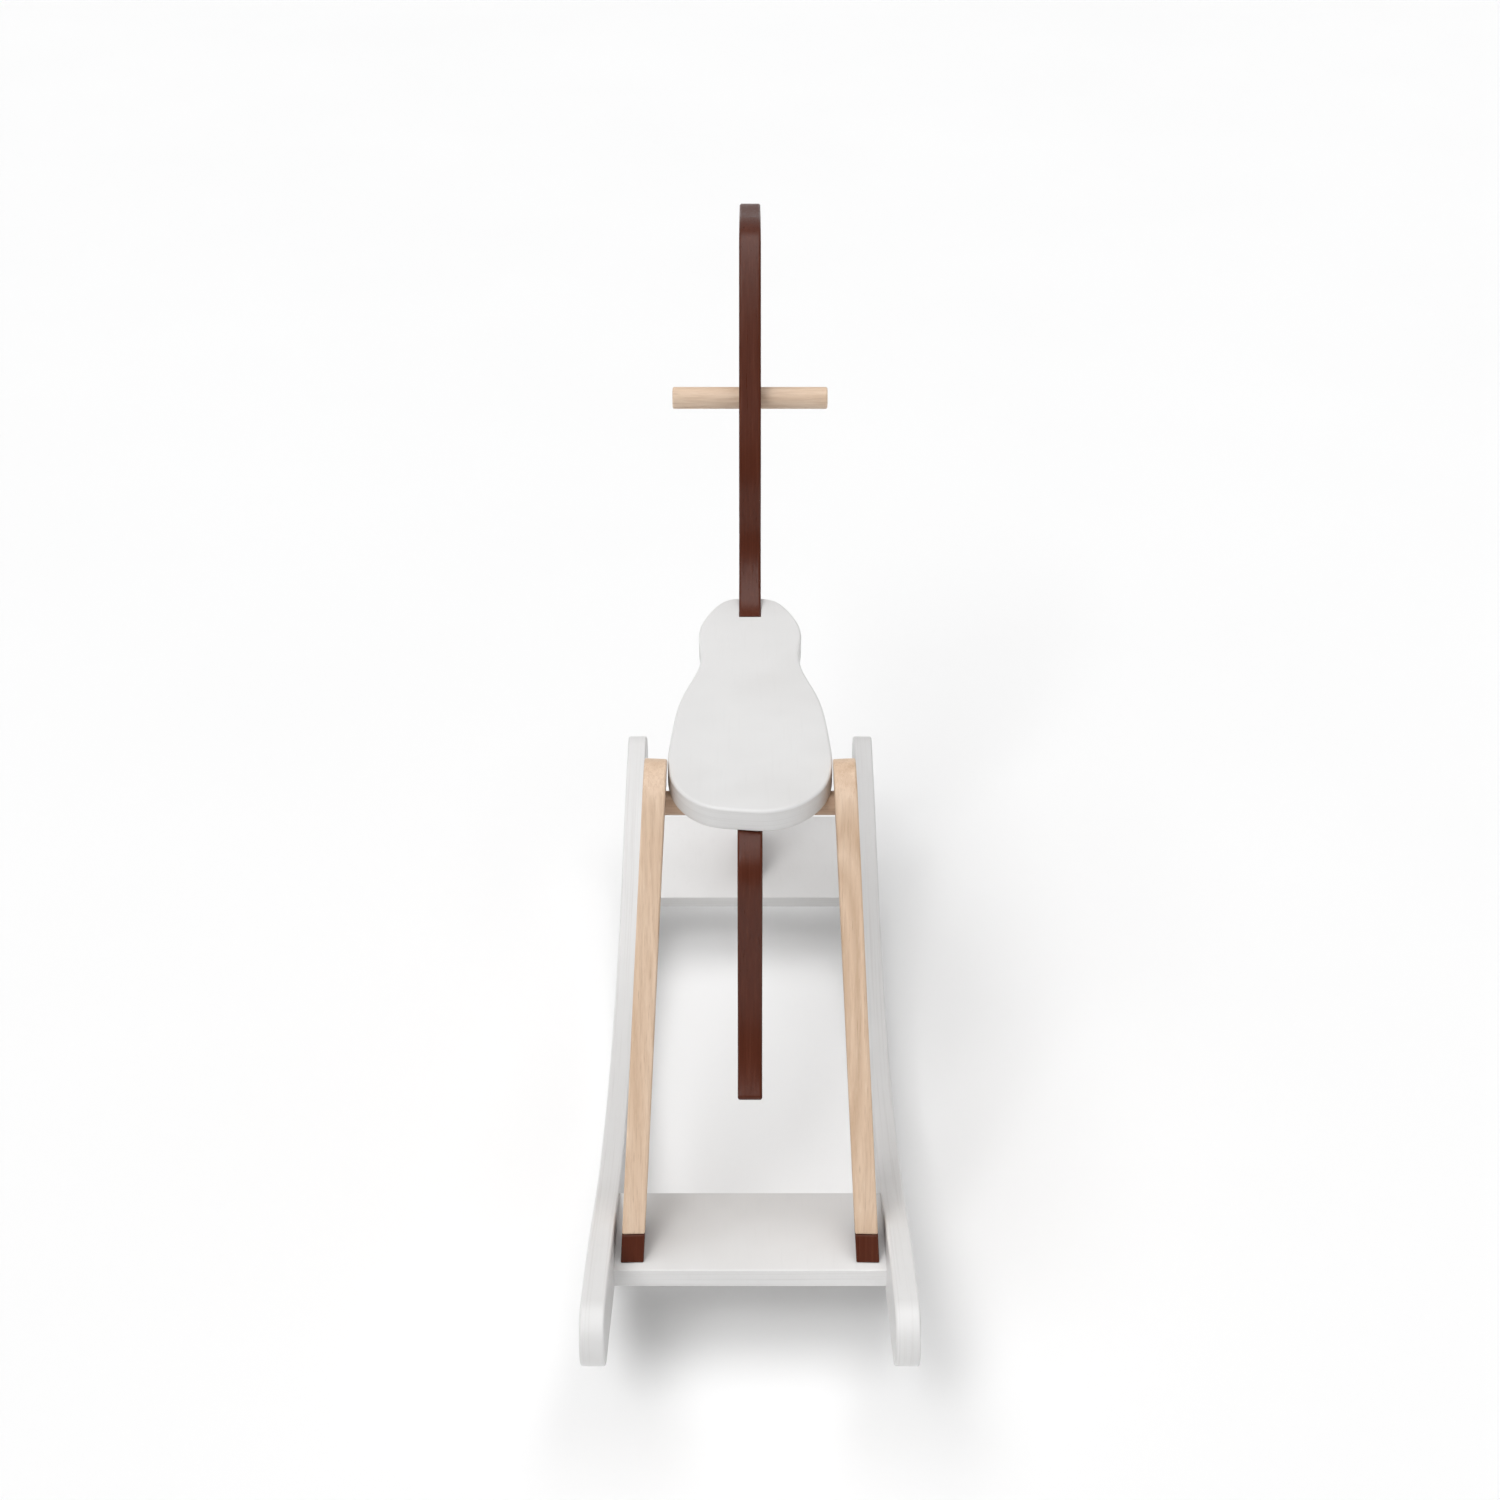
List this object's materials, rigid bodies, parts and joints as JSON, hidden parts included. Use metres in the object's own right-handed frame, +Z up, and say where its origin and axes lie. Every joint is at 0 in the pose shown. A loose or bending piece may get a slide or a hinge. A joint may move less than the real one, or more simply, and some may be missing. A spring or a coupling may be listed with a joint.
{
  "type": "rocking horse",
  "caption": "Small wooden rocking horse with white curved rockers and seat, dark brown head and tail boards, and pale beech legs and handle.",
  "frame": {"origin": "on the floor, at the point midway between the two rockers where their soles touch it at the middle of their length", "axes": "+Z up; +Y towards the horse's head, along the rockers; +X to the rider's right"},
  "size_m": [0.24, 0.9355, 0.669],
  "materials": {
    "white_paint": "white painted plywood, satin",
    "brown_paint": "dark brown stained board, satin gloss",
    "beech": "clear lacquered pale beech",
    "steel": "zinc plated",
    "white_plastic": "matte"
  },
  "bodies": {
    "root": {"rocker_left": "white_paint", "rocker_right": "white_paint", "rear_cross_board": "white_paint", "front_cross_board": "white_paint", "seat_board": "white_paint", "leg_left": "beech", "leg_right": "beech", "seat_crossbar": "beech", "handle_bar": "beech", "seat_cleat_left": "beech", "seat_cleat_right": "beech", "tail_seat_dowels": "beech", "hoof_dowels": "beech", "hoof_left": "brown_paint", "hoof_right": "brown_paint", "neck_panel": "brown_paint", "tail_panel": "brown_paint", "cleat_neck_bolts": "steel", "cleat_neck_nuts": "steel", "cleat_seat_screws": "steel", "hoof_screws": "steel", "neck_foot_screws": "steel", "board_bolts": "steel", "board_barrel_nuts": "steel", "bolt_caps": "white_plastic"}
  },
  "joints": []
}
